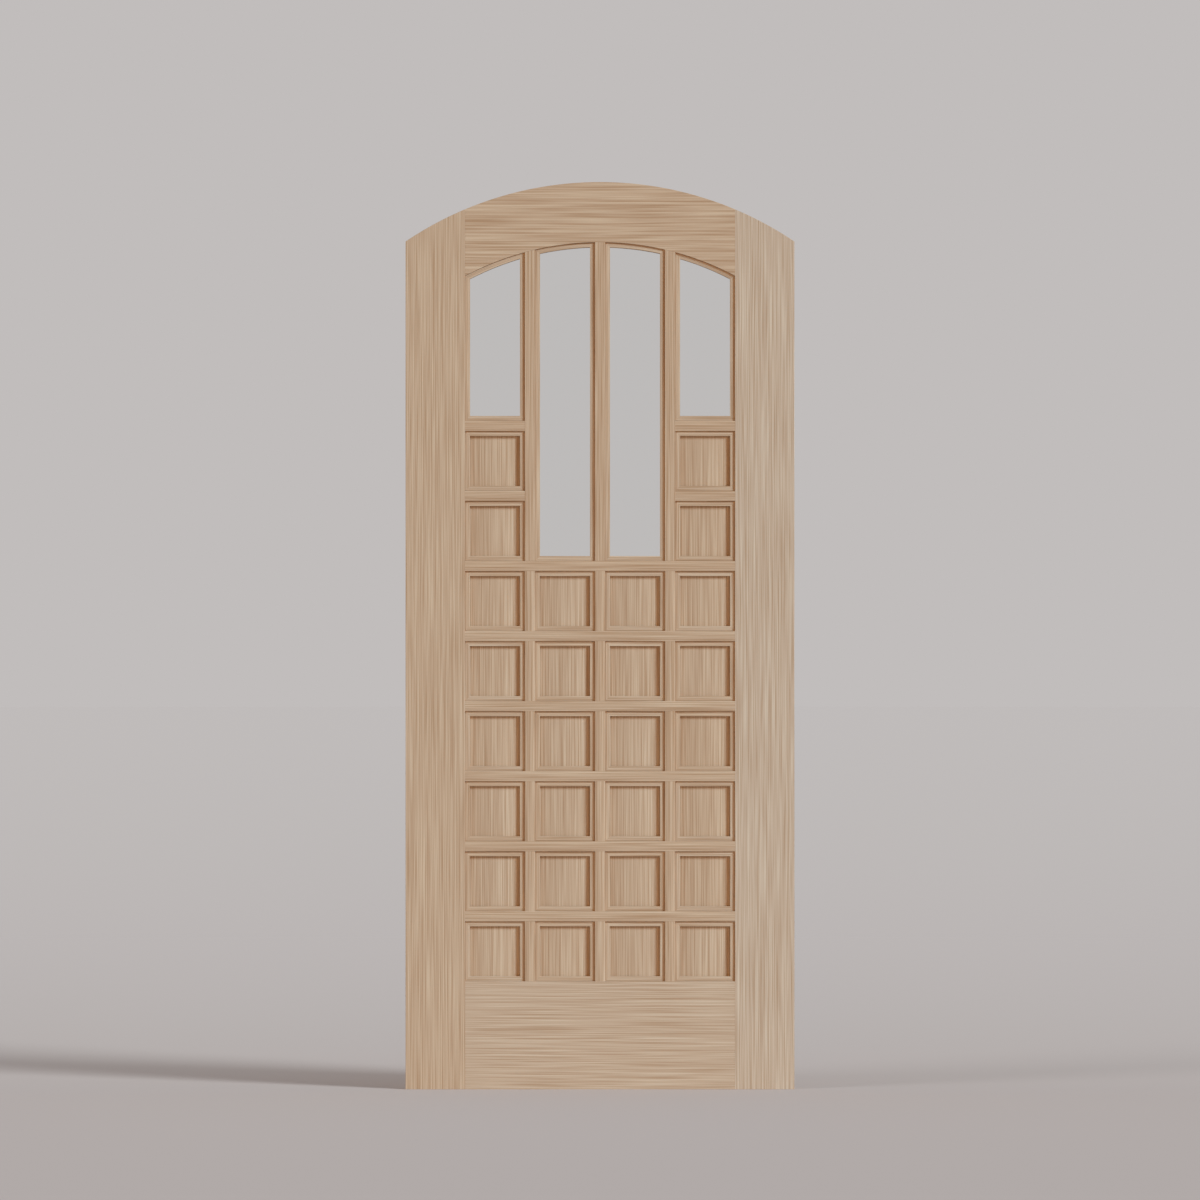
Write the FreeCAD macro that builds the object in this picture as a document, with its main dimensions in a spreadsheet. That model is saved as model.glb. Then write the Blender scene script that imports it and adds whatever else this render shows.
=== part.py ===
import FreeCAD, Part
import math
import os
import Sketcher
from FreeCAD import Rotation, Vector

# Arched-top timber door leaf, half glazed, standing on its bottom edge.
# Frame: X across the leaf, Y through its thickness with the front at -Y, Z up.
# The origin is in the middle of the bottom edge. Millimetres.

doc = FreeCAD.newDocument("half_glazed_door")
sheet = doc.addObject("Spreadsheet::Sheet", "dimensions")

driving_dimensions = [
    ("leaf_width", 914.4, "overall width, 36 in"),
    ("leaf_height", 2133.6, "overall height to the crown of the arch, 84 in"),
    ("leaf_thickness", 44.45, "stiles, rails and bars, 1 3/4 in"),
    ("arch_rise", 140.0, "crown of the arch above its springing at the edges"),
    ("stile_width", 139.7, "face of each stile"),
    ("top_rail_depth", 141.5, "arched rail, measured along the radius"),
    ("bottom_rail_height", 254.0, "face of the bottom rail"),
    ("bar_width", 24.0, "face of the cross rails, muntins, mullions and side bars"),
    ("panel_opening_height", 140.75, "clear height of one panelled row"),
    ("panel_thickness", 17.0, "flat panel"),
    ("panel_clearance", 1.5, "room for the panel to swell, at each edge"),
    ("glass_thickness", 6.0, "toughened pane"),
    ("glass_clearance", 3.0, "room round each pane"),
    ("bead_width", 11.5, "face of the square beads"),
    ("bead_setback", 5.0, "face of the beads below the face of the leaf"),
    ("tenon_thickness", 14.0, "all tenons"),
    ("rail_tenon_length", 70.0, "top and bottom rail into the stiles"),
    ("top_tenon_height", 80.0, "tenon of the top rail"),
    ("top_tenon_shoulder", 20.0, "tenon above the lower arc at the stile"),
    ("bottom_tenon_height", 80.0, "each of the twin tenons of the bottom rail"),
    ("bottom_tenon_shoulder", 30.0, "twin tenons in from the edges of the rail"),
    ("bar_tenon_length", 30.0, "cross rails and side bars into the stiles, mullions into the top rail"),
    ("stub_tenon_length", 8.0, "bars into bars"),
    ("mortise_relief", 1.0, "mortise deeper than its tenon"),
]
for row, (alias, value, note) in enumerate(driving_dimensions, start=1):
    sheet.set(f"A{row}", note)
    sheet.set(f"B{row}", str(value))
    sheet.setAlias(f"B{row}", alias)
doc.recompute()

# Layout of the grid, counted from the left and from the bottom
column_count = 4
panel_row_count = 8
full_row_count = 6
side_columns = (0, column_count - 1)
upright_count = column_count - 1

# Expressions that follow from the driving dimensions
stile_line = "(dimensions.leaf_width / 2 - dimensions.stile_width)"
opening_width = f"((2 * {stile_line} - {upright_count} * dimensions.bar_width) / {column_count})"
column_pitch = f"({opening_width} + dimensions.bar_width)"
row_pitch = "(dimensions.panel_opening_height + dimensions.bar_width)"
outer_radius = "((dimensions.leaf_width ^ 2 / 4 + dimensions.arch_rise ^ 2) / (2 * dimensions.arch_rise))"
inner_radius = f"({outer_radius} - dimensions.top_rail_depth)"
arch_centre = f"(dimensions.leaf_height - {outer_radius})"
bead_face = "(dimensions.leaf_thickness / 2 - dimensions.bead_setback)"

parts = []


def number(expression):
    return float(sheet.evalExpression(expression))


def column_span(column):
    left = f"(-{stile_line} + {column} * {column_pitch})"
    return left, f"({left} + {opening_width})"


def upright_span(upright):
    right = f"(-{stile_line} + {upright + 1} * {column_pitch})"
    return f"({right} - dimensions.bar_width)", right


def row_span(row):
    bottom = f"(dimensions.bottom_rail_height + {row} * {row_pitch})"
    return bottom, f"({bottom} + dimensions.panel_opening_height)"


def bar_over_row(row):
    return row_span(row)[1], row_span(row + 1)[0]


def grown(span, low, high):
    return f"({span[0]} - {low})", f"({span[1]} + {high})"


def on_arc(radius, x):
    return f"({arch_centre} + sqrt({radius} ^ 2 - ({x}) ^ 2))"


def bind(item, bindings):
    for name, expression in bindings.items():
        item.setExpression(name, expression)
    return item


def slab(name, x_span, z_span, thickness):
    # A plain piece, centred in the thickness of the leaf
    bindings = {
        "Length": f"{x_span[1]} - {x_span[0]}",
        "Width": thickness,
        "Height": f"{z_span[1]} - {z_span[0]}",
        "Placement.Base.x": x_span[0],
        "Placement.Base.y": f"-{thickness} / 2",
        "Placement.Base.z": z_span[0],
    }
    return bind(doc.addObject("Part::Box", name), bindings)


def arc_geometry(radius, right_x, left_x):
    # Runs from right to left over the top, centred under the crown
    reach = number(radius)
    circle = Part.Circle(Vector(0, number(arch_centre), 0), Vector(0, 0, 1), reach)
    start = math.acos(number(right_x) / reach)
    end = math.acos(number(left_x) / reach)
    return Part.ArcOfCircle(circle, start, end)


def flat_sketch(body, name):
    # Sketch on the middle plane of the leaf, its normal towards the front
    sketch = body.newObject("Sketcher::SketchObject", name)
    plane = [item for item in body.Origin.OriginFeatures if item.Role == "XZ_Plane"][0]
    sketch.AttachmentSupport = [(plane, "")]
    sketch.MapMode = "FlatFace"
    return sketch


def dimension(sketch, name, constraint, expression):
    index = sketch.addConstraint(constraint)
    sketch.renameConstraint(index, name)
    sketch.setExpression(f"Constraints.{name}", expression)


def place_x(sketch, name, geometry, point, expression):
    constraint = Sketcher.Constraint("DistanceX", -1, 1, geometry, point, number(expression))
    dimension(sketch, name, constraint, expression)


def place_z(sketch, name, geometry, point, expression):
    constraint = Sketcher.Constraint("DistanceY", -1, 1, geometry, point, number(expression))
    dimension(sketch, name, constraint, expression)


def pad_sketch(body, sketch, y_low, y_high):
    # y_low and y_high are measured towards the front
    pad = body.newObject("PartDesign::Pad", f"{body.Name}_pad")
    pad.Profile = sketch
    sketch.setExpression("AttachmentOffset.Base.z", y_low)
    pad.setExpression("Length", f"{y_high} - ({y_low})")
    return body


def arched_strip(name, x_span, z_bottom, radius, thickness):
    # Upright piece with a level foot and a top cut on the arch
    body = doc.addObject("PartDesign::Body", name)
    sketch = flat_sketch(body, f"{name}_outline")
    left, right = number(x_span[0]), number(x_span[1])
    foot = number(z_bottom)
    left_top = number(on_arc(radius, x_span[0]))
    right_top = number(on_arc(radius, x_span[1]))
    bottom_edge = sketch.addGeometry(Part.LineSegment(Vector(left, foot, 0), Vector(right, foot, 0)))
    right_edge = sketch.addGeometry(Part.LineSegment(Vector(right, foot, 0), Vector(right, right_top, 0)))
    arc = sketch.addGeometry(arc_geometry(radius, x_span[1], x_span[0]))
    left_edge = sketch.addGeometry(Part.LineSegment(Vector(left, left_top, 0), Vector(left, foot, 0)))
    sketch.addConstraint(Sketcher.Constraint("Coincident", bottom_edge, 2, right_edge, 1))
    sketch.addConstraint(Sketcher.Constraint("Coincident", right_edge, 2, arc, 1))
    sketch.addConstraint(Sketcher.Constraint("Coincident", arc, 2, left_edge, 1))
    sketch.addConstraint(Sketcher.Constraint("Coincident", left_edge, 2, bottom_edge, 1))
    sketch.addConstraint(Sketcher.Constraint("Horizontal", bottom_edge))
    sketch.addConstraint(Sketcher.Constraint("Vertical", right_edge))
    sketch.addConstraint(Sketcher.Constraint("Vertical", left_edge))
    sketch.addConstraint(Sketcher.Constraint("PointOnObject", arc, 3, -2))
    place_z(sketch, "arch_centre", arc, 3, arch_centre)
    dimension(sketch, "radius", Sketcher.Constraint("Radius", arc, number(radius)), radius)
    place_x(sketch, "left_side", bottom_edge, 1, x_span[0])
    place_x(sketch, "right_side", bottom_edge, 2, x_span[1])
    place_z(sketch, "foot", bottom_edge, 1, z_bottom)
    return pad_sketch(body, sketch, f"-{thickness} / 2", f"{thickness} / 2")


def arc_band(name, outer_span, outer, inner_span, inner, y_low, y_high):
    # Curved piece between two arcs of one centre, with straight ends
    body = doc.addObject("PartDesign::Body", name)
    sketch = flat_sketch(body, f"{name}_outline")
    corners = {}
    for label, radius, x in (
        ("outer_left", outer, outer_span[0]),
        ("outer_right", outer, outer_span[1]),
        ("inner_left", inner, inner_span[0]),
        ("inner_right", inner, inner_span[1]),
    ):
        corners[label] = Vector(number(x), number(on_arc(radius, x)), 0)
    top = sketch.addGeometry(arc_geometry(outer, outer_span[1], outer_span[0]))
    left_end = sketch.addGeometry(Part.LineSegment(corners["outer_left"], corners["inner_left"]))
    under = sketch.addGeometry(arc_geometry(inner, inner_span[1], inner_span[0]))
    right_end = sketch.addGeometry(Part.LineSegment(corners["inner_right"], corners["outer_right"]))
    sketch.addConstraint(Sketcher.Constraint("Coincident", top, 2, left_end, 1))
    sketch.addConstraint(Sketcher.Constraint("Coincident", left_end, 2, under, 2))
    sketch.addConstraint(Sketcher.Constraint("Coincident", under, 1, right_end, 1))
    sketch.addConstraint(Sketcher.Constraint("Coincident", right_end, 2, top, 1))
    sketch.addConstraint(Sketcher.Constraint("PointOnObject", top, 3, -2))
    sketch.addConstraint(Sketcher.Constraint("Coincident", under, 3, top, 3))
    place_z(sketch, "arch_centre", top, 3, arch_centre)
    dimension(sketch, "outer_radius", Sketcher.Constraint("Radius", top, number(outer)), outer)
    dimension(sketch, "inner_radius", Sketcher.Constraint("Radius", under, number(inner)), inner)
    place_x(sketch, "outer_right", top, 1, outer_span[1])
    place_x(sketch, "outer_left", top, 2, outer_span[0])
    place_x(sketch, "inner_right", under, 1, inner_span[1])
    place_x(sketch, "inner_left", under, 2, inner_span[0])
    return pad_sketch(body, sketch, y_low, y_high)


def keep(item, label):
    item.Label = label
    parts.append(item)


def fused(name, pieces):
    fusion = doc.addObject("Part::MultiFuse", name)
    fusion.Shapes = pieces
    fusion.Refine = True
    return fusion


def compound(name, pieces):
    group = doc.addObject("Part::Compound", name)
    group.Links = pieces
    return group


def mortised(name, blank, cutters):
    cut = doc.addObject("Part::Cut", name)
    cut.Base = blank
    cut.Tool = compound(f"{name}_mortises", cutters)
    return cut


def tenoned(name, blank, tongue_x, tongue_z, relief_axis):
    # Returns the piece with its tongue, which passes right through it and ends in a tenon at each
    # end, and the cutter that makes the mortises for those tenons
    tongue = slab(f"{name}_tongue", tongue_x, tongue_z, "dimensions.tenon_thickness")
    relief = "dimensions.mortise_relief"
    cutter_x = grown(tongue_x, relief, relief) if relief_axis == "x" else tongue_x
    cutter_z = grown(tongue_z, relief, relief) if relief_axis == "z" else tongue_z
    cutter = slab(f"{name}_cutter", cutter_x, cutter_z, "dimensions.tenon_thickness")
    return fused(f"{name}_tenoned", [blank, tongue]), cutter


leaf_span = (f"-{stile_line}", stile_line)
leaf_thickness = "dimensions.leaf_thickness"
bar_tenon = "dimensions.bar_tenon_length"
stub_tenon = "dimensions.stub_tenon_length"
rail_tenon = "dimensions.rail_tenon_length"

# Cross rails: slim bars from stile to stile, one above each full row of panels
cross_rails = []
rail_cutters = []
for row in range(full_row_count):
    name = f"cross_rail_{row + 1}"
    z_span = bar_over_row(row)
    blank = slab(f"{name}_blank", leaf_span, z_span, leaf_thickness)
    bar, cutter = tenoned(name, blank, grown(leaf_span, bar_tenon, bar_tenon), z_span, "x")
    cross_rails.append(bar)
    rail_cutters.append(cutter)

# Muntins: short uprights between the cross rails, three to a row
muntin_cutters = []
for row in range(full_row_count):
    muntins = []
    cutters = []
    z_span = row_span(row)
    for upright in range(upright_count):
        name = f"muntin_{row + 1}_{upright + 1}"
        x_span = upright_span(upright)
        blank = slab(f"{name}_blank", x_span, z_span, leaf_thickness)
        bar, cutter = tenoned(name, blank, x_span, grown(z_span, stub_tenon, stub_tenon), "z")
        muntins.append(bar)
        cutters.append(cutter)
    muntin_cutters.append(cutters)
    keep(compound(f"muntins_{row + 1}", muntins), f"muntins_row_{row + 1}")

# Mullions: tall uprights between the panes, scribed to the arched rail
mullion_foot = row_span(full_row_count)[0]
mullions = []
mullion_cutters = []
for upright, side in enumerate(("left", "centre", "right")):
    name = f"{side}_mullion"
    x_span = upright_span(upright)
    blank = arched_strip(f"{name}_blank", x_span, mullion_foot, inner_radius, leaf_thickness)
    crown = on_arc(inner_radius, f"max(abs({x_span[0]}), abs({x_span[1]}))")
    bar, cutter = tenoned(name, blank, x_span, grown((mullion_foot, crown), stub_tenon, bar_tenon), "z")
    mullions.append(bar)
    mullion_cutters.append(cutter)

# Side bars: two on each side, from a stile to its nearest mullion, over the two upper rows
side_bar_cutters = {"left": [], "right": []}
for side, column in zip(("left", "right"), side_columns):
    for row, level in ((full_row_count, "lower"), (full_row_count + 1, "upper")):
        name = f"{side}_{level}_side_bar"
        x_span = column_span(column)
        z_span = bar_over_row(row)
        blank = slab(f"{name}_blank", x_span, z_span, leaf_thickness)
        reach = (bar_tenon, stub_tenon) if side == "left" else (stub_tenon, bar_tenon)
        bar, cutter = tenoned(name, blank, grown(x_span, *reach), z_span, "x")
        side_bar_cutters[side].append(cutter)
        keep(bar, name)

# Bottom rail: twin tenons at each end
bottom_span = ("0", "dimensions.bottom_rail_height")
bottom_blank = slab("bottom_rail_blank", leaf_span, bottom_span, leaf_thickness)
low_shoulder = "dimensions.bottom_tenon_shoulder"
low_tenon = (low_shoulder, f"({low_shoulder} + dimensions.bottom_tenon_height)")
high_shoulder = "(dimensions.bottom_rail_height - dimensions.bottom_tenon_shoulder)"
high_tenon = (f"({high_shoulder} - dimensions.bottom_tenon_height)", high_shoulder)
tongue_x = grown(leaf_span, rail_tenon, rail_tenon)
with_low, low_cutter = tenoned("bottom_rail_low", bottom_blank, tongue_x, low_tenon, "x")
bottom_rail, high_cutter = tenoned("bottom_rail_high", with_low, tongue_x, high_tenon, "x")
rail_cutters += [low_cutter, high_cutter]
keep(mortised("bottom_rail_cut", bottom_rail, muntin_cutters[0]), "bottom_rail")

# Top rail: arched band between the stiles, with one tenon at each end
half_thickness = f"({leaf_thickness} / 2)"
whole_depth = (f"-{half_thickness}", half_thickness)
top_blank = arc_band("top_rail_blank", leaf_span, outer_radius, leaf_span, inner_radius, *whole_depth)
top_tenon_foot = f"({on_arc(inner_radius, stile_line)} + dimensions.top_tenon_shoulder)"
top_tenon_z = (top_tenon_foot, f"({top_tenon_foot} + dimensions.top_tenon_height)")
left_tenon_x = (f"(-{stile_line} - {rail_tenon})", f"(-{stile_line})")
right_tenon_x = (stile_line, f"({stile_line} + {rail_tenon})")
with_left, top_left_cutter = tenoned("top_rail_left", top_blank, left_tenon_x, top_tenon_z, "x")
top_rail, top_right_cutter = tenoned("top_rail_right", with_left, right_tenon_x, top_tenon_z, "x")
keep(mortised("top_rail_cut", top_rail, mullion_cutters), "top_rail")

# Mortises in the cross rails, for the uprights below and above each
for row, bar in enumerate(cross_rails):
    above = muntin_cutters[row + 1] if row + 1 < full_row_count else mullion_cutters
    cut = mortised(f"cross_rail_{row + 1}_cut", bar, muntin_cutters[row] + above)
    keep(cut, f"cross_rail_{row + 1}")

# Mortises in the outer mullions, for the side bars
keep(mortised("left_mullion_cut", mullions[0], side_bar_cutters["left"]), "left_mullion")
keep(mullions[1], "centre_mullion")
keep(mortised("right_mullion_cut", mullions[2], side_bar_cutters["right"]), "right_mullion")

# Stiles: full height, tops cut on the outer arc, mortised for every rail and side bar
half_width = "(dimensions.leaf_width / 2)"
stile_spans = {"left": (f"-{half_width}", f"-{stile_line}"), "right": (stile_line, half_width)}
top_cutters = {"left": top_left_cutter, "right": top_right_cutter}
for side, x_span in stile_spans.items():
    blank = arched_strip(f"{side}_stile_blank", x_span, "0", outer_radius, leaf_thickness)
    cutters = rail_cutters + side_bar_cutters[side] + [top_cutters[side]]
    keep(mortised(f"{side}_stile_cut", blank, cutters), f"{side}_stile")

# Openings of the grid: a flat panel or a pane in each, held by beads on both faces
beads = {}


def bead_depth(face, filling):
    # Depth of a bead towards the front, from the filling to the face of the bead
    front = (f"({filling} / 2)", bead_face)
    return front if face == "front" else (f"(-{bead_face})", f"(-{filling} / 2)")


def straight_bead(face, edge, corner, length, mitres, filling):
    # Mitred stick that starts at a corner of the opening and runs round it anticlockwise
    turns = {"bottom": 0, "right": -90, "top": 180, "left": 90}
    group = beads.setdefault(f"{face}_{edge}_beads", [])
    stick = doc.addObject("Part::Wedge", f"{face}_{edge}_bead_{len(group) + 1}")
    low, high = bead_depth(face, filling)
    lying = Rotation(Vector(1, 0, 0), 90)
    stick.Placement.Rotation = Rotation(Vector(0, 1, 0), turns[edge]) * lying
    bindings = {
        "Xmin": "0",
        "Xmax": length,
        "X2min": mitres[0],
        "X2max": f"{length} - {mitres[1]}",
        "Ymin": "0",
        "Ymax": "dimensions.bead_width",
        "Zmin": low,
        "Z2min": low,
        "Zmax": high,
        "Z2max": high,
        "Placement.Base.x": corner[0],
        "Placement.Base.z": corner[1],
    }
    group.append(bind(stick, bindings))


def panel_beads(x_span, z_span):
    bead = "dimensions.bead_width"
    square = (bead, bead)
    height = "dimensions.panel_opening_height"
    filling = "dimensions.panel_thickness"
    for face in ("front", "back"):
        straight_bead(face, "bottom", (x_span[0], z_span[0]), opening_width, square, filling)
        straight_bead(face, "right", (x_span[1], z_span[0]), height, square, filling)
        straight_bead(face, "top", (x_span[1], z_span[1]), opening_width, square, filling)
        straight_bead(face, "left", (x_span[0], z_span[1]), height, square, filling)


def pane_beads(column, x_span, z_bottom):
    bead = "dimensions.bead_width"
    filling = "dimensions.glass_thickness"
    sight_radius = f"({inner_radius} - {bead})"
    sight_span = (f"({x_span[0]} + {bead})", f"({x_span[1]} - {bead})")
    left_top = on_arc(inner_radius, x_span[0])
    right_top = on_arc(inner_radius, x_span[1])
    left_mitre = f"({left_top} - {on_arc(sight_radius, sight_span[0])})"
    right_mitre = f"({right_top} - {on_arc(sight_radius, sight_span[1])})"
    left_length = f"({left_top} - {z_bottom})"
    right_length = f"({right_top} - {z_bottom})"
    for face in ("front", "back"):
        straight_bead(face, "bottom", (x_span[0], z_bottom), opening_width, (bead, bead), filling)
        straight_bead(face, "right", (x_span[1], z_bottom), right_length, (bead, right_mitre), filling)
        straight_bead(face, "left", (x_span[0], left_top), left_length, (left_mitre, bead), filling)
        name = f"{face}_arched_bead_{column + 1}"
        low, high = bead_depth(face, filling)
        arched = arc_band(name, x_span, inner_radius, sight_span, sight_radius, low, high)
        beads[f"{face}_top_beads"].append(arched)


panel_inset = "-dimensions.panel_clearance"
for row in range(panel_row_count):
    panels = []
    for column in range(column_count) if row < full_row_count else side_columns:
        x_span = column_span(column)
        z_span = row_span(row)
        panel_x = grown(x_span, panel_inset, panel_inset)
        panel_z = grown(z_span, panel_inset, panel_inset)
        panels.append(slab(f"panel_{row + 1}_{column + 1}", panel_x, panel_z, "dimensions.panel_thickness"))
        panel_beads(x_span, z_span)
    keep(compound(f"panels_{row + 1}", panels), f"panels_row_{row + 1}")

glass_inset = "-dimensions.glass_clearance"
pane_radius = f"({inner_radius} - dimensions.glass_clearance)"
pane_names = ("left_side_pane", "left_tall_pane", "right_tall_pane", "right_side_pane")
for column, name in enumerate(pane_names):
    x_span = column_span(column)
    sill_row = panel_row_count if column in side_columns else full_row_count
    z_bottom = row_span(sill_row)[0]
    pane_x = grown(x_span, glass_inset, glass_inset)
    pane_foot = f"({z_bottom} + dimensions.glass_clearance)"
    keep(arched_strip(name, pane_x, pane_foot, pane_radius, "dimensions.glass_thickness"), name)
    pane_beads(column, x_span, z_bottom)

for name, sticks in beads.items():
    keep(compound(f"{name}_group", sticks), name)

doc.recompute()

faults = [item.Label for item in doc.Objects if "Invalid" in item.State or "Error" in item.State]
faults += [item.Label for item in parts if item.Shape.isNull() or not item.Shape.isValid()]
if faults:
    raise RuntimeError("not built: " + ", ".join(faults))

os.makedirs("parts", exist_ok=True)
for item in parts:
    item.Shape.exportStep(f"parts/{item.Label}.step")
    print(item.Label, len(item.Shape.Solids), "solids", round(item.Shape.Volume), "mm3")
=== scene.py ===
import math
import random
import bmesh
import bpy
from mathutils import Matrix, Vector


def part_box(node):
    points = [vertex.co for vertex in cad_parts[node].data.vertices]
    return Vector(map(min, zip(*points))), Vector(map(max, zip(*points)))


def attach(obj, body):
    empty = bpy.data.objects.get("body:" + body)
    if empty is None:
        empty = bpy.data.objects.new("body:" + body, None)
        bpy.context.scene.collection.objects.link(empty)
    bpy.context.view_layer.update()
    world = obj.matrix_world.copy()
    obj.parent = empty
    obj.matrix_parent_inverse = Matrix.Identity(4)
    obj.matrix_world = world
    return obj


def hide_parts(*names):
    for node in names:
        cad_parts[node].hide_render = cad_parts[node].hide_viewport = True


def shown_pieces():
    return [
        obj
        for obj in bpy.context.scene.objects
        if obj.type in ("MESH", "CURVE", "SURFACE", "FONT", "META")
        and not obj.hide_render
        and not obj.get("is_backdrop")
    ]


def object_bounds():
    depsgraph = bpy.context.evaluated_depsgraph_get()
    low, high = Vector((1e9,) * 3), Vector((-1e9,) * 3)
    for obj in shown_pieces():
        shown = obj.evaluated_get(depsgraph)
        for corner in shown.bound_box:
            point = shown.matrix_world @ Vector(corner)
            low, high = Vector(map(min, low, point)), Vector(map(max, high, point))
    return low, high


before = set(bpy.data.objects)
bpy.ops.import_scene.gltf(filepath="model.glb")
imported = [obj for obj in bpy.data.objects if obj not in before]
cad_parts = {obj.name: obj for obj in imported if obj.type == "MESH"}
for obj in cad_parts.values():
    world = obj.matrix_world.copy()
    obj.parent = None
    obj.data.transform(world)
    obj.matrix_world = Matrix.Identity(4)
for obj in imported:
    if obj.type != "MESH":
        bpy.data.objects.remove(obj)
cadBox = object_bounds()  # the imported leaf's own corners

mm = 0.001


def hexToLinear(code):
    parts = [int(code[i:i + 2], 16) / 255 for i in (1, 3, 5)]
    parts = [p / 12.92 if p <= 0.04045 else ((p + 0.055) / 1.055) ** 2.4 for p in parts]
    return (*parts, 1.0)


# A key of links names an input or gives its number. Its value is a plain value, an output, or a whole
# node, which stands for that node's first live output.
def addNode(tree, kind, links=None, **settings):
    node = tree.nodes.new(kind)
    for name, value in settings.items():
        setattr(node, name, value)
    for key, source in (links or {}).items():
        target = node.inputs[key] if isinstance(key, int) else next(
            s for s in node.inputs if s.enabled and s.name == key)
        if isinstance(source, bpy.types.Node):
            source = next(s for s in source.outputs if s.enabled)
        if isinstance(source, bpy.types.NodeSocket):
            tree.links.new(source, target)
        else:
            target.default_value = source
    return node


# Sizes of the leaf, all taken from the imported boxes
fullRows = 6  # rows of four panels, each under a cross rail of its own
sideRows = 2  # rows above them, with a panel at each side only
halfLeaf, halfThick, crown = cadBox[1]
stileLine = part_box("right_stile")[0].x  # inner edge of the stiles
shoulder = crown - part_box("right_stile")[1].z  # how far the arch climbs between the stiles
outerRadius = (stileLine ** 2 + shoulder ** 2) / (2 * shoulder)
archCentre = crown - outerRadius
innerRadius = math.hypot(stileLine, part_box("top_rail")[0].z - archCentre)
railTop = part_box("bottom_rail")[1].z
crossRails = [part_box(f"cross_rail_{i}") for i in range(1, fullRows + 1)]
sideBars = [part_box(f"right_{place}_side_bar") for place in ("lower", "upper")]
barWidth = crossRails[0][1].z - crossRails[0][0].z
mullionX = (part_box("right_mullion")[0].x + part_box("right_mullion")[1].x) / 2
columns = [mullionX * bays for bays in (-1.5, -0.5, 0.5, 1.5)]  # middles of the four openings in a row
sideColumns = (columns[0], columns[3])
openingWidth = mullionX - barWidth
tallSill = crossRails[-1][1].z
sideSill = sideBars[-1][1].z
rowFloors = [railTop] + [box[1].z for box in crossRails[:-1]] + [tallSill, sideBars[0][1].z]
rowHeads = [box[0].z for box in crossRails + sideBars]
rows = [(low + high) / 2 for low, high in zip(rowFloors, rowHeads)]
openingHeight = rowHeads[0] - rowFloors[0]
panelLow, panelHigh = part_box("panels_row_7")
beadFace = -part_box("front_bottom_beads")[0].y  # bead, panel and glass faces, out from the middle
panelFace = -panelLow.y
glassFace = -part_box("left_tall_pane")[0].y
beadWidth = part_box("front_bottom_beads")[1].z - sideSill
panelSpots = [(x, 0, z) for z in rows[:fullRows] for x in columns]
panelSpots += [(x, 0, z) for z in rows[fullRows:] for x in sideColumns]
print("leaf", [round(2 * halfLeaf / mm, 1), round(crown / mm, 1)], "bar", round(barWidth / mm, 2),
      "bead", round(beadWidth / mm, 2), "radii", round(outerRadius / mm, 1), round(innerRadius / mm, 1))


# Planed pine, left bare and matt: close, straight streaks of late wood a few millimetres apart on a pale
# honey ground, broader drifts of tone across a board, and dull highlights that follow the streaks.
pine = {
    "late": "#A98B6F", "ground": "#B99F86", "early": "#C7B198",  # dark streak, mean, pale streak
    "warm": "#AD8766", "pale": "#C3BBB0",  # boards from deeper and from lighter stock lean to these
    "lean": 0.25,  # how far a board of tone 1 does
    "end": "#9F8064", "endShare": 0.72,  # end grain drinks the light, and its rings still show
    "streaks": [  # width and run in mm, and share
        (1.6, 130, 0.72),
        (2.4, 320, 0.88),
        (4.0, 420, 0.26),
        (45, 600, 0.04),
    ],
    "contrast": 1.25,
    "wander": (1.5, 60, 500),  # sideways drift, its width and run, in mm
    "slant": 24,  # degrees between the growth rings and the face
    "roughness": (0.58, 0.70),  # late wood is the duller
    "ior": 1.5, "shine": 0.35,  # bare timber shines less than varnish would
    "relief": 0.06, "reliefShare": 0.5,  # mm between early and late wood, and how much of it shows
}


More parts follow.
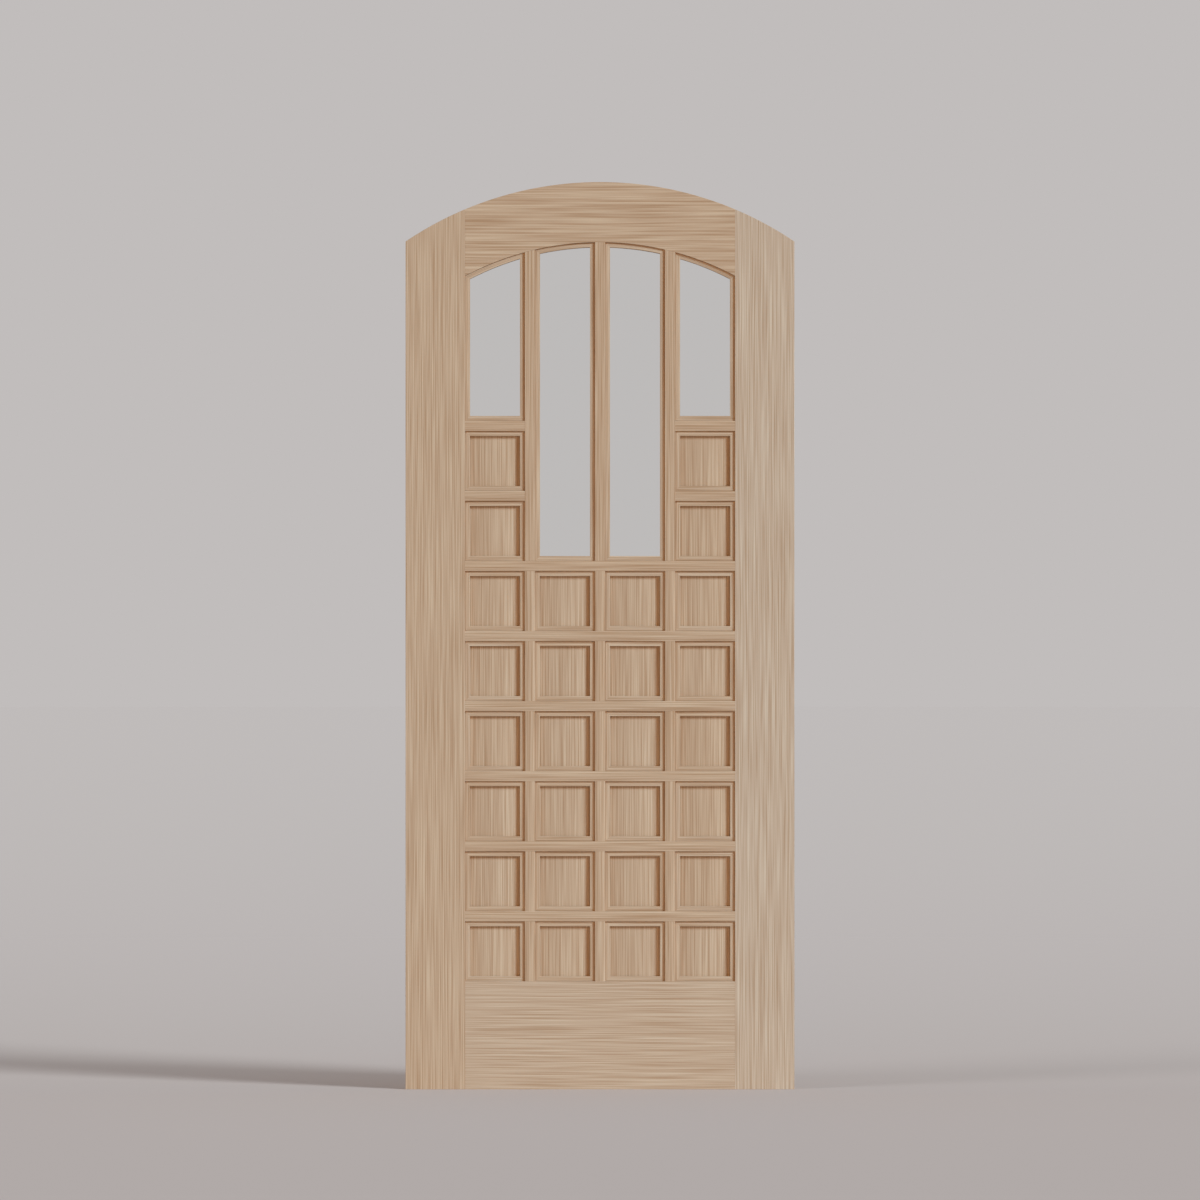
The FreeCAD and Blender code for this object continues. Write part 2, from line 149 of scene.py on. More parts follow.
def makePine():
    material = bpy.data.materials.new("planedPine")
    material.use_nodes = True
    tree = material.node_tree
    tree.nodes.clear()
    grain = addNode(tree, "ShaderNodeAttribute", attribute_name="grainCo").outputs["Vector"]
    tone = addNode(tree, "ShaderNodeAttribute", attribute_name="boardTone").outputs["Fac"]
    endCut = addNode(tree, "ShaderNodeAttribute", attribute_name="endCut").outputs["Fac"]
    along, across, depth = addNode(tree, "ShaderNodeSeparateXYZ", {0: grain}).outputs
    slant = math.radians(pine["slant"])
    deep = addNode(tree, "ShaderNodeMath", {0: depth, 1: math.sin(slant)}, operation="MULTIPLY")
    ring = addNode(tree, "ShaderNodeMath", {0: across, 1: math.cos(slant), 2: deep},
                   operation="MULTIPLY_ADD")
    flat = addNode(tree, "ShaderNodeCombineXYZ", {0: along, 1: ring})
    drift, driftWidth, driftRun = pine["wander"]
    perMetre = (1 / (driftRun * mm), 1 / (driftWidth * mm), 0)
    plan = addNode(tree, "ShaderNodeVectorMath", {0: flat, 1: perMetre}, operation="MULTIPLY")
    sway = addNode(tree, "ShaderNodeTexNoise", {"Vector": plan, "Scale": 1.0, "Detail": 1.0},
                   noise_dimensions="2D")
    shifted = addNode(tree, "ShaderNodeMath", {0: sway, 1: drift * mm, 2: ring}, operation="MULTIPLY_ADD")
    flat = addNode(tree, "ShaderNodeCombineXYZ", {0: along, 1: shifted})
    middle = 0.5  # noise swings about it, and so does the ramp
    total = middle
    for width, run, share in pine["streaks"]:
        perMetre = (1 / (run * mm), 1 / (width * mm), 0)
        plan = addNode(tree, "ShaderNodeVectorMath", {0: flat, 1: perMetre}, operation="MULTIPLY")
        noise = addNode(tree, "ShaderNodeTexNoise", {"Vector": plan, "Scale": 1.0, "Detail": 0.0},
                        noise_dimensions="2D")
        swing = addNode(tree, "ShaderNodeMath", {0: noise, 1: middle}, operation="SUBTRACT")
        total = addNode(tree, "ShaderNodeMath", {0: swing, 1: share * pine["contrast"], 2: total},
                        operation="MULTIPLY_ADD")
    ground = hexToLinear(pine["ground"])
    ramp = addNode(tree, "ShaderNodeValToRGB", {0: total})
    ramp.color_ramp.elements[0].color = hexToLinear(pine["late"])
    ramp.color_ramp.elements[1].color = hexToLinear(pine["early"])
    ramp.color_ramp.elements.new(middle).color = ground
    isPale = addNode(tree, "ShaderNodeMath", {0: tone, 1: 0.0}, operation="GREATER_THAN")
    warm, pale = ([c / g for c, g in zip(hexToLinear(pine[key]), ground)] for key in ("warm", "pale"))
    stock = addNode(tree, "ShaderNodeMix", {"Factor": isPale, "A": warm, "B": pale}, data_type="RGBA")
    leaning = addNode(tree, "ShaderNodeMath", {0: tone}, operation="ABSOLUTE")
    leaning = addNode(tree, "ShaderNodeMath", {0: leaning, 1: pine["lean"]}, operation="MULTIPLY")
    tinted = addNode(tree, "ShaderNodeMix", {"Factor": leaning, "A": ramp, "B": stock}, data_type="RGBA",
                     blend_type="MULTIPLY")  # shifts the board's colour and keeps its streaks
    sawn = addNode(tree, "ShaderNodeMath", {0: endCut, 1: pine["endShare"]}, operation="MULTIPLY")
    ends = addNode(tree, "ShaderNodeMix", {"Factor": sawn, "A": tinted, "B": hexToLinear(pine["end"])},
                   data_type="RGBA")
    smooth, dull = pine["roughness"]
    rough = addNode(tree, "ShaderNodeMapRange", {"Value": total, "To Min": dull, "To Max": smooth})
    bump = addNode(tree, "ShaderNodeBump", {
        "Height": total, "Strength": pine["reliefShare"], "Distance": pine["relief"] * mm})
    shader = addNode(tree, "ShaderNodeBsdfPrincipled", {
        "Base Color": ends, "Roughness": rough, "IOR": pine["ior"], "Specular IOR Level": pine["shine"],
        "Normal": bump})
    addNode(tree, "ShaderNodeOutputMaterial", {"Surface": shader})
    return material


# Clear float glass: all but invisible face on, a breath of green from the iron in it, and a thin cool
# line where an edge shows. Light passes through it to what lies behind.
glass = {
    "tint": "#FAFCFC",  # of what is seen through it, at each face
    "shadeTint": "#FCFDFD",  # of the light that comes through it, at each face
    "ior": 1.5, "roughness": 0.0,
}


def makeGlass():
    material = bpy.data.materials.new("floatGlass")
    material.use_nodes = True
    tree = material.node_tree
    tree.nodes.clear()
    body = addNode(tree, "ShaderNodeBsdfPrincipled", {
        "Base Color": hexToLinear(glass["tint"]), "Roughness": glass["roughness"], "IOR": glass["ior"],
        "Transmission Weight": 1.0})
    clear = addNode(tree, "ShaderNodeBsdfTransparent", {"Color": hexToLinear(glass["shadeTint"])})
    ray = addNode(tree, "ShaderNodeLightPath")
    mixed = addNode(tree, "ShaderNodeMixShader", {0: ray.outputs["Is Shadow Ray"], 1: body, 2: clear})
    addNode(tree, "ShaderNodeOutputMaterial", {"Surface": mixed})
    return material


timber = makePine()
glazing = makeGlass()
print("materials made")


def finishPiece(piece, slot, *nodes):
    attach(piece, "root")
    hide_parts(*nodes)
    return piece


# Stiles, rails and the glazing mullions
board = {
    "arris": 0.5 * mm, "arrisSteps": 2,
    "arrisTurn": 0.5,  # edges that turn more than this, in radians, are eased
    "archTurn": math.radians(8),  # edges that turn less than this lie on the arch and are smooth
    "archSteps": 48, "scribeSteps": 12,  # cuts along an arch, and along the head of a mullion
    "figure": {"topRail": 0.56, "bottomRail": 1.1},  # how close the streaks lie, 1 on the other boards
    "shift": (3.0, 0.6), "seed": 41,  # how far along and across other timber a board is cut, in metres
    "tone": {"leftStile": 0.0, "rightStile": 1.0, "topRail": -0.4, "bottomRail": 0.5,
             "leftMullion": -0.5, "centreMullion": -0.6, "rightMullion": -0.4},
}
dice = random.Random(board["seed"])


# Points (x, z) along an arch struck from the leaf's own centre
def archPoints(radius, start, end, steps=board["archSteps"]):
    xs = [start + (end - start) * i / steps for i in range(steps + 1)]
    return [(x, archCentre + math.sqrt(radius ** 2 - x ** 2)) for x in xs]


# A board sawn to an outline that runs anticlockwise as the front shows it, with its arrises eased
def sawBoard(name, outline, upright):
    bm = bmesh.new()
    grain = bm.verts.layers.float_vector.new("grainCo")
    stock = bm.verts.layers.float.new("boardTone")
    endCut = bm.faces.layers.float.new("endCut")
    near = [bm.verts.new((x, -halfThick, z)) for x, z in outline]
    far = [bm.verts.new((x, halfThick, z)) for x, z in outline]
    bm.faces.new(near)
    bm.faces.new(far[::-1])
    for i in range(len(outline)):
        bm.faces.new((near[i], near[i - 1], far[i - 1], far[i]))
    bmesh.ops.recalc_face_normals(bm, faces=bm.faces)
    edges = [e for e in bm.edges if e.calc_face_angle() > board["arrisTurn"]]
    bmesh.ops.bevel(bm, geom=edges, offset=board["arris"], segments=board["arrisSteps"], profile=0.5,
                    affect="EDGES")
    figure = board["figure"].get(name, 1)
    reach, breadth = board["shift"]
    shift = Vector((dice.uniform(-reach, reach), dice.uniform(-breadth, breadth), 0))
    for v in bm.verts:
        along, across = (v.co.z, v.co.x) if upright else (v.co.x, v.co.z)
        v[grain] = Vector((along, across * figure, v.co.y)) + shift
        v[stock] = board["tone"][name]
    for e in bm.edges:
        e.smooth = e.calc_face_angle() < board["archTurn"]
    for f in bm.faces:
        f.smooth = True
        f[endCut] = abs(f.normal.z if upright else f.normal.x) ** 2
    mesh = bpy.data.meshes.new(name)
    bm.to_mesh(mesh)
    bm.free()
    mesh.materials.append(timber)
    piece = bpy.data.objects.new(name, mesh)
    bpy.context.collection.objects.link(piece)
    return piece


leftOutline = [(-halfLeaf, 0), (-stileLine, 0)] + archPoints(outerRadius, -stileLine, -halfLeaf)
rightOutline = [(stileLine, 0), (halfLeaf, 0)] + archPoints(outerRadius, halfLeaf, stileLine)
headOutline = archPoints(innerRadius, -stileLine, stileLine)
headOutline += archPoints(outerRadius, stileLine, -stileLine)
footOutline = [(-stileLine, 0), (stileLine, 0), (stileLine, railTop), (-stileLine, railTop)]
for name, node, slot, outline, upright in (
        ("leftStile", "left_stile", "upright_timber", leftOutline, True),
        ("rightStile", "right_stile", "upright_timber", rightOutline, True),
        ("topRail", "top_rail", "level_timber", headOutline, False),
        ("bottomRail", "bottom_rail", "level_timber", footOutline, False)):
    piece = sawBoard(name, outline, upright)
    finishPiece(piece, slot, node)

for name, node, x in (("leftMullion", "left_mullion", -mullionX), ("centreMullion", "centre_mullion", 0),
                      ("rightMullion", "right_mullion", mullionX)):
    low, high = x - barWidth / 2, x + barWidth / 2
    outline = [(low, tallSill), (high, tallSill)] + archPoints(innerRadius, high, low, board["scribeSteps"])
    piece = sawBoard(name, outline, True)
    finishPiece(piece, "upright_timber", node)
print("stiles, rails and mullions sawn")


# Starts a geometry tree with its named inputs, in order, and gives the tree and its input node
def startTree(name, inputs):
    tree = bpy.data.node_groups.new(name, "GeometryNodeTree")
    tree.interface.new_socket("Spots", in_out="INPUT", socket_type="NodeSocketGeometry")
    tree.interface.new_socket("Boards", in_out="OUTPUT", socket_type="NodeSocketGeometry")
    for label, kind in inputs.items():
        tree.interface.new_socket(label, in_out="INPUT", socket_type=f"NodeSocket{kind}")
    return tree, addNode(tree, "NodeGroupInput").outputs


# Sets one stick out on every spot, gives each its own cut of timber, and makes the lot real
def endTree(tree, given, stick, turn):
    placed = addNode(tree, "GeometryNodeInstanceOnPoints", {
        "Points": given["Spots"], "Instance": stick, "Rotation": turn})
    reach = addNode(tree, "ShaderNodeVectorMath", {0: given["Grain Shift"], 1: (-1, -1, -1)},
                    operation="MULTIPLY")
    cut = addNode(tree, "FunctionNodeRandomValue", {
        "Min": reach, "Max": given["Grain Shift"], "Seed": given["Seed"]}, data_type="FLOAT_VECTOR")
    placed = addNode(tree, "GeometryNodeStoreNamedAttribute", {
        "Geometry": placed, "Name": "boardCut", "Value": cut}, data_type="FLOAT_VECTOR", domain="INSTANCE")
    tone = addNode(tree, "FunctionNodeRandomValue", {
        "Min": given["Tone Low"], "Max": given["Tone High"], "Seed": given["Seed"]}, data_type="FLOAT")
    placed = addNode(tree, "GeometryNodeStoreNamedAttribute", {
        "Geometry": placed, "Name": "boardTone", "Value": tone}, data_type="FLOAT", domain="INSTANCE")
    real = addNode(tree, "GeometryNodeRealizeInstances", {"Geometry": placed})
    own = addNode(tree, "GeometryNodeInputNamedAttribute", {"Name": "grainCo"}, data_type="FLOAT_VECTOR")
    cut = addNode(tree, "GeometryNodeInputNamedAttribute", {"Name": "boardCut"}, data_type="FLOAT_VECTOR")
    moved = addNode(tree, "ShaderNodeVectorMath", {0: own, 1: cut}, operation="ADD")
    real = addNode(tree, "GeometryNodeStoreNamedAttribute", {
        "Geometry": real, "Name": "grainCo", "Value": moved}, data_type="FLOAT_VECTOR", domain="POINT")
    dressed = addNode(tree, "GeometryNodeSetMaterial", {"Geometry": real, "Material": given["Timber"]})
    addNode(tree, "NodeGroupOutput", {0: dressed})
    return tree


# Runs a tree over a list of spots and keeps the result as a plain mesh
def runTree(name, tree, spots, values):
    mesh = bpy.data.meshes.new(name)
    mesh.from_pydata(spots, [], [])
    piece = bpy.data.objects.new(name, mesh)
    bpy.context.collection.objects.link(piece)
    modifier = piece.modifiers.new("boards", "NODES")
    modifier.node_group = tree
    for socket in tree.interface.items_tree:
        if socket.in_out == "INPUT" and socket.name in values:
            modifier[socket.identifier] = values[socket.name]
    evaluated = piece.evaluated_get(bpy.context.evaluated_depsgraph_get())
    result = bpy.data.meshes.new_from_object(evaluated)
    piece.modifiers.clear()
    piece.data = result
    bm = bmesh.new()
    bm.from_mesh(result)
    bmesh.ops.recalc_face_normals(bm, faces=bm.faces)  # mirrored sticks come out inside out
    bm.to_mesh(result)
    bm.free()
    return piece


cutInputs = {"Seed": "Int", "Grain Shift": "Vector", "Tone Low": "Float", "Tone High": "Float",
             "Timber": "Material"}

# Bars, muntins and panels
bars = {
    "arris": 0.35 * mm, "panelArris": 0.3 * mm, "arrisSteps": 2,
    "shift": (3.0, 0.6, 0.0),  # how far into other timber each piece is cut, in metres
    "barTone": (-0.8, 0.0), "panelTone": (-0.15, 0.15),
    "seed": {"crossRails": 3, "muntins": 5, "sideBars": 7, "panels": 11},
}


# A straight bar with eased arrises, its length along the grain
def makeBarTree():
    tree, given = startTree("straightBars", {"Length": "Float", "Face": "Float", "Thickness": "Float",
                                             "Arris": "Float", "Turn": "Vector", **cutInputs})
    half = addNode(tree, "ShaderNodeMath", {0: given["Length"], 1: 0.5}, operation="MULTIPLY")
    minus = addNode(tree, "ShaderNodeMath", {0: given["Length"], 1: -0.5}, operation="MULTIPLY")
    path = addNode(tree, "GeometryNodeCurvePrimitiveLine", {
        "Start": addNode(tree, "ShaderNodeCombineXYZ", {0: minus}),
        "End": addNode(tree, "ShaderNodeCombineXYZ", {0: half})})
    section = addNode(tree, "GeometryNodeCurvePrimitiveQuadrilateral", {
        "Width": given["Thickness"], "Height": given["Face"]})
    section = addNode(tree, "GeometryNodeFilletCurve", {
        "Curve": section, "Radius": given["Arris"], "Count": bars["arrisSteps"]}, mode="POLY")
    bar = addNode(tree, "GeometryNodeCurveToMesh", {
        "Curve": path, "Profile Curve": section, "Fill Caps": True})
    along, deep, across = addNode(tree, "ShaderNodeSeparateXYZ", {
        0: addNode(tree, "GeometryNodeInputPosition")}).outputs
    order = addNode(tree, "ShaderNodeCombineXYZ", {0: along, 1: across, 2: deep})
    bar = addNode(tree, "GeometryNodeStoreNamedAttribute", {
        "Geometry": bar, "Name": "grainCo", "Value": order}, data_type="FLOAT_VECTOR", domain="POINT")
    return endTree(tree, given, bar, given["Turn"])


barTree = makeBarTree()
standing = (0, -math.pi / 2, 0)
lying = (0, 0, 0)
muntinSpots = [(x, 0, z) for z in rows[:fullRows] for x in (-mullionX, 0, mullionX)]
railSpots = [(0, 0, (box[0].z + box[1].z) / 2) for box in crossRails]
sideSpots = [(x, 0, (box[0].z + box[1].z) / 2) for box in sideBars for x in sideColumns]
panelLength = panelHigh.z - panelLow.z
panelWidth = 2 * (panelHigh.x - columns[3])
for name, slot, spots, length, face, depth, turn, nodes in (
        ("crossRails", "level_timber", railSpots, 2 * stileLine, barWidth, 2 * halfThick, lying,
         [f"cross_rail_{i}" for i in range(1, fullRows + 1)]),
        ("muntins", "upright_timber", muntinSpots, openingHeight, barWidth, 2 * halfThick, standing,
         [f"muntins_row_{i}" for i in range(1, fullRows + 1)]),
        ("sideBars", "level_timber", sideSpots, openingWidth, barWidth, 2 * halfThick, lying,
         [f"{side}_{place}_side_bar" for side in ("left", "right") for place in ("lower", "upper")]),
        ("panels", "panel_timber", panelSpots, panelLength, panelWidth, 2 * panelFace, standing,
         [f"panels_row_{i}" for i in range(1, fullRows + sideRows + 1)])):
    isPanel = name == "panels"
    low, high = bars["panelTone"] if isPanel else bars["barTone"]
    piece = runTree(name, barTree, spots, {
        "Length": length, "Face": face, "Thickness": depth, "Turn": turn, "Seed": bars["seed"][name],
        "Arris": bars["panelArris"] if isPanel else bars["arris"],
        "Grain Shift": bars["shift"], "Tone Low": low, "Tone High": high, "Timber": timber})
    finishPiece(piece, slot, *nodes)
print("bars, muntins and panels set out")


# Beads round every panel and pane, on both faces
beads = {
    "arris": 0.3 * mm, "quirk": 0.85 * mm, "arrisSteps": 3,  # inner edges, and the outer beside the bars
    "straightSteps": 2, "archSteps": 17,  # cuts along a bead: its two ends, or enough to bend it
    "cuts": (0.0, 0.9, 1.7, 2.6),  # metres between the timber of foot, head, left and right bead
    "shift": (3.0, 0.5, 0.0), "tone": (-0.1, 0.4),
    "panelSeed": 13, "paneSeed": 17,
}


# A frame of four mitred beads round an opening. The head is level, or follows the arch where Arched is on.
def makeBeadTree():
    tree, given = startTree("mitredBeads", {
        "Left": "Float", "Right": "Float", "Sill": "Float", "Head": "Float", "Arched": "Bool",
        "Arch Centre": "Float", "Arch Radius": "Float", "Bead Width": "Float", "Back": "Float",
        "Front": "Float", "Arris": "Float", "Quirk": "Float", "Steps": "Int", **cutInputs})
    depth = addNode(tree, "ShaderNodeMath", {0: given["Front"], 1: given["Back"]}, operation="SUBTRACT")
    depth = addNode(tree, "ShaderNodeMath", {0: depth}, operation="ABSOLUTE")
    section = addNode(tree, "GeometryNodeCurvePrimitiveQuadrilateral", {
        "Width": given["Bead Width"], "Height": depth})
    corner = addNode(tree, "ShaderNodeSeparateXYZ", {0: addNode(tree, "GeometryNodeInputPosition")})
    isOuter = addNode(tree, "FunctionNodeCompare", {"A": corner.outputs[0], "B": 0.0},
                      operation="GREATER_THAN")
    eased = addNode(tree, "GeometryNodeSwitch", {
        "Switch": isOuter, "False": given["Arris"], "True": given["Quirk"]}, input_type="FLOAT")
    section = addNode(tree, "GeometryNodeFilletCurve", {
        "Curve": section, "Radius": eased, "Count": beads["arrisSteps"]}, mode="POLY")
    path = addNode(tree, "GeometryNodeCurvePrimitiveLine", {"Start": (0, 0, 0), "End": (1, 0, 0)})
    path = addNode(tree, "GeometryNodeResampleCurve", {"Curve": path, "Count": given["Steps"]})
    stick = addNode(tree, "GeometryNodeCurveToMesh", {
        "Curve": path, "Profile Curve": section, "Fill Caps": True})
    run, breadth, height = addNode(tree, "ShaderNodeSeparateXYZ", {
        0: addNode(tree, "GeometryNodeInputPosition")}).outputs
    inward = addNode(tree, "ShaderNodeMath", {0: given["Bead Width"], 1: 0.5, 2: breadth},
                     operation="MULTIPLY_ADD")  # 0 at the opening's edge
    rise = addNode(tree, "ShaderNodeMath", {0: height, 1: depth}, operation="DIVIDE")
    rise = addNode(tree, "ShaderNodeMath", {0: rise, 1: 0.5}, operation="ADD")
    y = addNode(tree, "ShaderNodeMix", {"Factor": rise, "A": given["Back"], "B": given["Front"]},
                data_type="FLOAT")
    leftX = addNode(tree, "ShaderNodeMath", {0: given["Left"], 1: inward}, operation="ADD")
    rightX = addNode(tree, "ShaderNodeMath", {0: given["Right"], 1: inward}, operation="SUBTRACT")
    sillZ = addNode(tree, "ShaderNodeMath", {0: given["Sill"], 1: inward}, operation="ADD")
    levelZ = addNode(tree, "ShaderNodeMath", {0: given["Head"], 1: inward}, operation="SUBTRACT")
    spanX = addNode(tree, "ShaderNodeMix", {"Factor": run, "A": leftX, "B": rightX}, data_type="FLOAT")
    reach = addNode(tree, "ShaderNodeMath", {0: given["Arch Radius"], 1: inward}, operation="SUBTRACT")
    square = addNode(tree, "ShaderNodeMath", {0: reach, 1: reach}, operation="MULTIPLY")
    heads = []
    for x in (leftX, spanX, rightX):  # the head's height over each
        aside = addNode(tree, "ShaderNodeMath", {0: x, 1: x}, operation="MULTIPLY")
        climb = addNode(tree, "ShaderNodeMath", {0: square, 1: aside}, operation="SUBTRACT")
        climb = addNode(tree, "ShaderNodeMath", {0: climb}, operation="SQRT")
        archZ = addNode(tree, "ShaderNodeMath", {0: given["Arch Centre"], 1: climb}, operation="ADD")
        heads.append(addNode(tree, "GeometryNodeSwitch", {
            "Switch": given["Arched"], "False": levelZ, "True": archZ}, input_type="FLOAT"))
    leftZ = addNode(tree, "ShaderNodeMix", {"Factor": run, "A": sillZ, "B": heads[0]}, data_type="FLOAT")
    rightZ = addNode(tree, "ShaderNodeMix", {"Factor": run, "A": sillZ, "B": heads[2]}, data_type="FLOAT")
    frameOfFour = addNode(tree, "GeometryNodeJoinGeometry")
    sticks = ((spanX, sillZ, spanX), (spanX, heads[1], spanX), (leftX, leftZ, leftZ),
              (rightX, rightZ, rightZ))  # x and z of a stick, and which of them runs along it
    for (x, z, length), cut in zip(sticks, beads["cuts"]):
        spot = addNode(tree, "ShaderNodeCombineXYZ", {0: x, 1: y, 2: z})
        along = addNode(tree, "ShaderNodeMath", {0: length, 1: cut}, operation="ADD")
        across = addNode(tree, "ShaderNodeMath", {0: inward, 1: cut}, operation="ADD")
        order = addNode(tree, "ShaderNodeCombineXYZ", {0: along, 1: across, 2: y})
        marked = addNode(tree, "GeometryNodeStoreNamedAttribute", {
            "Geometry": stick, "Name": "grainCo", "Value": order}, data_type="FLOAT_VECTOR", domain="POINT")
        bent = addNode(tree, "GeometryNodeSetPosition", {"Geometry": marked, "Position": spot})
        tree.links.new(bent.outputs[0], frameOfFour.inputs[0])
    return endTree(tree, given, frameOfFour, lying)


beadTree = makeBeadTree()
halfOpening = openingWidth / 2
lites = [("LeftSide", columns[0], sideSill), ("LeftTall", columns[1], tallSill),
         ("RightTall", columns[2], tallSill), ("RightSide", columns[3], sideSill)]
for face, side in (("front", -1), ("back", 1)):
    shared = {"Bead Width": beadWidth, "Front": side * beadFace, "Arris": beads["arris"],
              "Quirk": beads["quirk"], "Grain Shift": beads["shift"], "Tone Low": beads["tone"][0],
              "Tone High": beads["tone"][1], "Arch Centre": archCentre, "Arch Radius": innerRadius,
              "Timber": timber}
    nodes = [f"{face}_{edge}_beads" for edge in ("bottom", "right", "top", "left")]
    piece = runTree(f"{face}PanelBeads", beadTree, panelSpots, {
        **shared, "Left": -halfOpening, "Right": halfOpening, "Sill": -openingHeight / 2,
        "Head": openingHeight / 2, "Arched": False, "Steps": beads["straightSteps"],
        "Back": side * panelFace, "Seed": beads["panelSeed"] + side})
    finishPiece(piece, "upright_timber", *nodes)
    for name, x, sill in lites:
        piece = runTree(f"{face}{name}Beads", beadTree, [(0, 0, 0)], {
            **shared, "Left": x - halfOpening, "Right": x + halfOpening, "Sill": sill, "Head": crown,
            "Arched": True, "Steps": beads["archSteps"],
            "Back": side * glassFace, "Seed": beads["paneSeed"] + side + round(x / mm)})
        finishPiece(piece, "upright_timber", *nodes)
print("beads mitred round every panel and pane")


for node in ("left_side_pane", "left_tall_pane", "right_tall_pane", "right_side_pane"):
    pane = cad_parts[node]
    pane.data.materials.clear()
    pane.data.materials.append(glazing)
print("panes glazed")


# Studio: a pale floor that fades into an even backdrop. On the leaf a cool key from the right and warm light
# from the front, the side and the sky add up to neutral, and leave the recesses warm. A lamp behind shows
# the back, and the floor has lamps of its own.
studio = {
    "backdrop": "#C1BDBC", "floor": "#C5BCBA",
    "floorCentre": -4.0, "floorReach": 90.0, "floorSides": 64,  # its middle's y and its radius, in metres
    "fade": (4.0, 7.0),  # metres from there at which it starts to give way to the backdrop, then half has
    "sky": 0.12, "skyColour": "#FFDFC0",
    "distance": 24.0, "eyeHeight": 1.1506, "frameWidth": 2.8218, "farthest": 400,  # camera, in metres
    "sensor": 36,  # mm
}
lamps = {  # what it lights, turn to the right and height in degrees, strength, softness in degrees, colour
    "key": ("leaf", 52, 25, 4.03, 21, "#CBEBFF"),
    "warmFront": ("leaf", 0, 8, 0.80, 70, "#FFB95A"),
    "warmSide": ("leaf", 90, 22, 0.90, 20, "#FFB45A"),
    "rear": ("leaf", 215, 25, 3.40, 40, "#F9FDFF"),
    "keyOnFloor": ("floor", 46, 19.2, 3.50, 18, "#F2FCFF"),
    "fillOnFloor": ("floor", -48, 19.2, 0.8, 24, "#FFFFFF"),
    "overhead": ("floor", 0, 90, 0.88, 90, "#F4F9FF"),
    "fill": ("leaf", -48, 19.2, 0.15, 24, "#FFFFFF"),
}
shadowless = ("warmSide",)  # reaches into every recess, as light off a near wall would


def makeBackdrop():
    world = bpy.data.worlds.new("studio")
    bpy.context.scene.world = world
    world.use_nodes = True
    tree = world.node_tree
    tree.nodes.clear()
    ray = addNode(tree, "ShaderNodeLightPath").outputs
    seen = addNode(tree, "ShaderNodeMath", {0: ray["Is Camera Ray"], 1: ray["Is Glossy Ray"]},
                   operation="MAXIMUM")
    seen = addNode(tree, "ShaderNodeMath", {0: seen, 1: ray["Is Transmission Ray"]}, operation="MAXIMUM")
    first = addNode(tree, "ShaderNodeMath", {0: ray["Diffuse Depth"], 1: 0.5}, operation="LESS_THAN")
    seen = addNode(tree, "ShaderNodeMath", {0: seen, 1: first}, operation="MULTIPLY")  # seen, never as light
    sky = addNode(tree, "ShaderNodeBackground", {
        "Color": hexToLinear(studio["skyColour"]), "Strength": studio["sky"]})
    backdrop = addNode(tree, "ShaderNodeBackground", {
        "Color": hexToLinear(studio["backdrop"]), "Strength": 1.0})
    both = addNode(tree, "ShaderNodeMixShader", {0: seen, 1: sky, 2: backdrop})
    addNode(tree, "ShaderNodeOutputWorld", {"Surface": both})


# Matt floor paint: dull and even, only there to take the shadow
def makeFloorPaint(centre):
    paint = bpy.data.materials.new("mattFloorPaint")
    paint.use_nodes = True
    tree = paint.node_tree
    tree.nodes.clear()
    spot = addNode(tree, "ShaderNodeTexCoord").outputs["Object"]
    away = addNode(tree, "ShaderNodeVectorMath", {0: spot, 1: centre}, operation="DISTANCE")
    near, half = studio["fade"]
    past = addNode(tree, "ShaderNodeMath", {0: away.outputs["Value"], 1: near}, operation="SUBTRACT")
    past = addNode(tree, "ShaderNodeMath", {0: past, 1: 0.0}, operation="MAXIMUM")
    whole = addNode(tree, "ShaderNodeMath", {0: past, 1: half}, operation="ADD")
    share = addNode(tree, "ShaderNodeMath", {0: past, 1: whole}, operation="DIVIDE")
    matt = addNode(tree, "ShaderNodeBsdfDiffuse", {"Color": hexToLinear(studio["floor"]), "Roughness": 0.0})
    gone = addNode(tree, "ShaderNodeBsdfTransparent")
    both = addNode(tree, "ShaderNodeMixShader", {0: share, 1: matt, 2: gone})
    addNode(tree, "ShaderNodeOutputMaterial", {"Surface": both})
    return paint


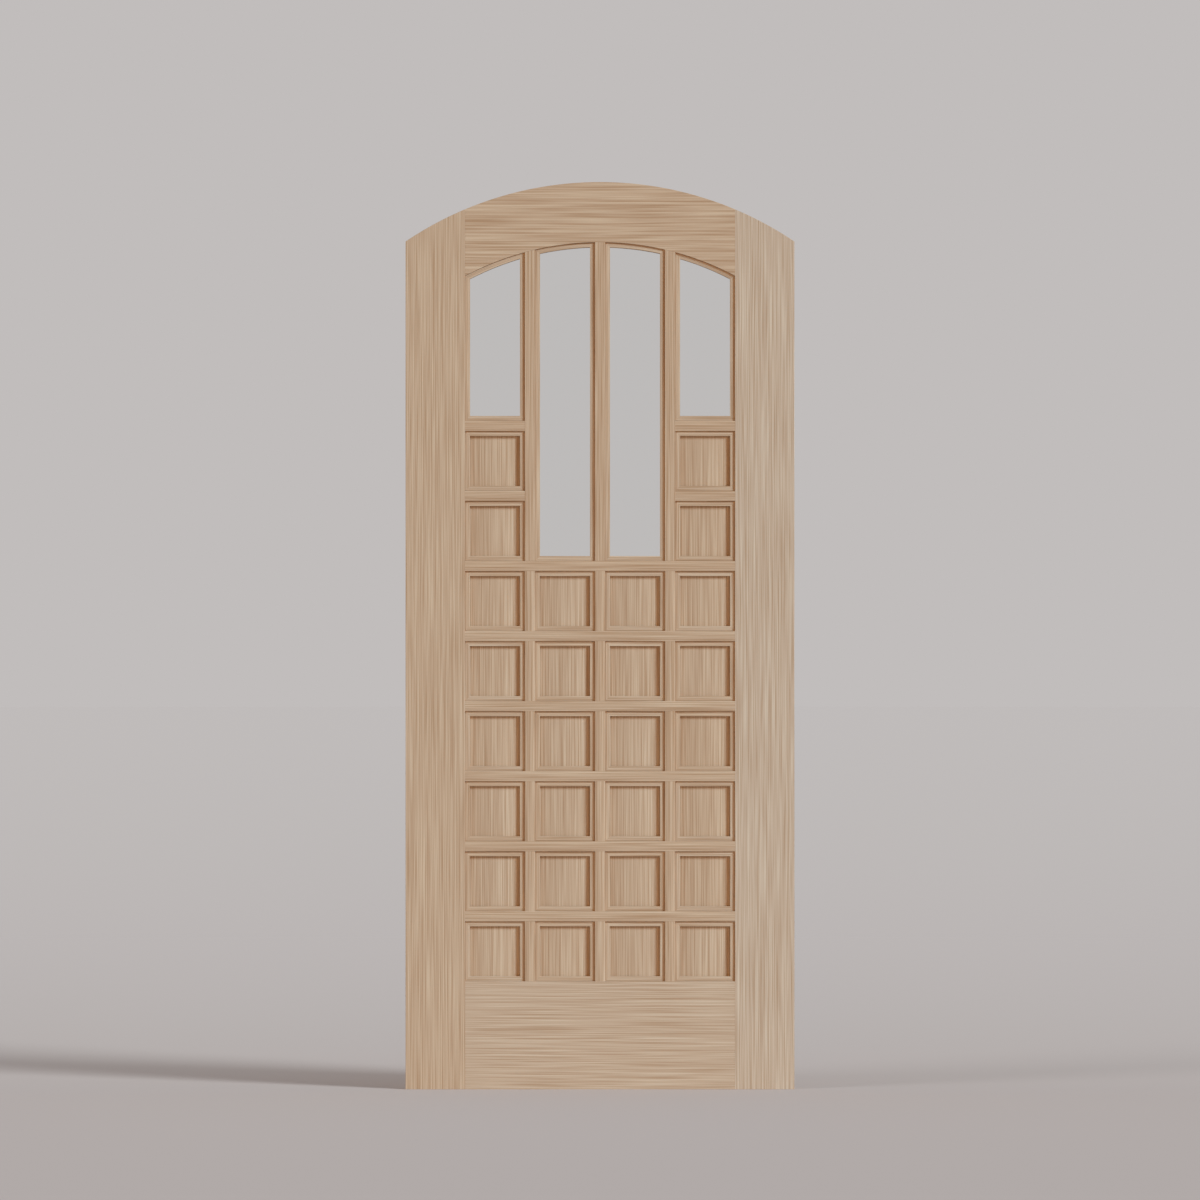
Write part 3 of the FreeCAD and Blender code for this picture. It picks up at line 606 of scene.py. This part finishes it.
def layFloor():
    centre = (0, studio["floorCentre"], 0)
    bm = bmesh.new()
    bmesh.ops.create_circle(bm, cap_ends=True, segments=studio["floorSides"], radius=studio["floorReach"])
    bmesh.ops.translate(bm, verts=bm.verts, vec=centre)
    mesh = bpy.data.meshes.new("studioFloor")
    bm.to_mesh(mesh)
    bm.free()
    mesh.materials.append(makeFloorPaint(centre))
    floor = bpy.data.objects.new("studioFloor", mesh)
    bpy.context.collection.objects.link(floor)
    floor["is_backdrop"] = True
    return floor


def hangLamps(floor):
    lit = {"leaf": bpy.data.collections.new("leafLit"), "floor": bpy.data.collections.new("floorLit")}
    lit["floor"].objects.link(floor)
    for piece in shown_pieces():
        lit["leaf"].objects.link(piece)
    for name, (target, turn, height, strength, softness, colour) in lamps.items():
        light = bpy.data.lights.new(name, "SUN")
        light.energy = strength
        light.angle = math.radians(softness)
        light.color = hexToLinear(colour)[:3]
        light.use_shadow = name not in shadowless
        turn, height = math.radians(turn), math.radians(height)
        level = math.cos(height)
        toLamp = Vector((math.sin(turn) * level, -math.cos(turn) * level, math.sin(height)))
        holder = bpy.data.objects.new(name, light)
        holder.rotation_euler = toLamp.to_track_quat("Z", "Y").to_euler()
        holder.visible_transmission = False  # no lamp shows in the panes or through them
        holder.visible_glossy = False
        bpy.context.collection.objects.link(holder)
        holder.light_linking.receiver_collection = lit[target]
        if target == "leaf":
            holder.light_linking.blocker_collection = lit["leaf"]  # the floor keeps no light from it


def placeCamera():
    view = bpy.data.cameras.new("camera")
    view.sensor_width = studio["sensor"]
    view.lens = studio["sensor"] * (studio["distance"] - halfThick) / studio["frameWidth"]
    view.clip_end = studio["farthest"]
    camera = bpy.data.objects.new("camera", view)
    camera.location = (0, -studio["distance"], studio["eyeHeight"])
    camera.rotation_euler = (math.pi / 2, 0, 0)
    bpy.context.collection.objects.link(camera)
    bpy.context.scene.camera = camera


makeBackdrop()
hangLamps(layFloor())
placeCamera()
bpy.context.scene.view_settings.view_transform = "Standard"
print("studio lit")
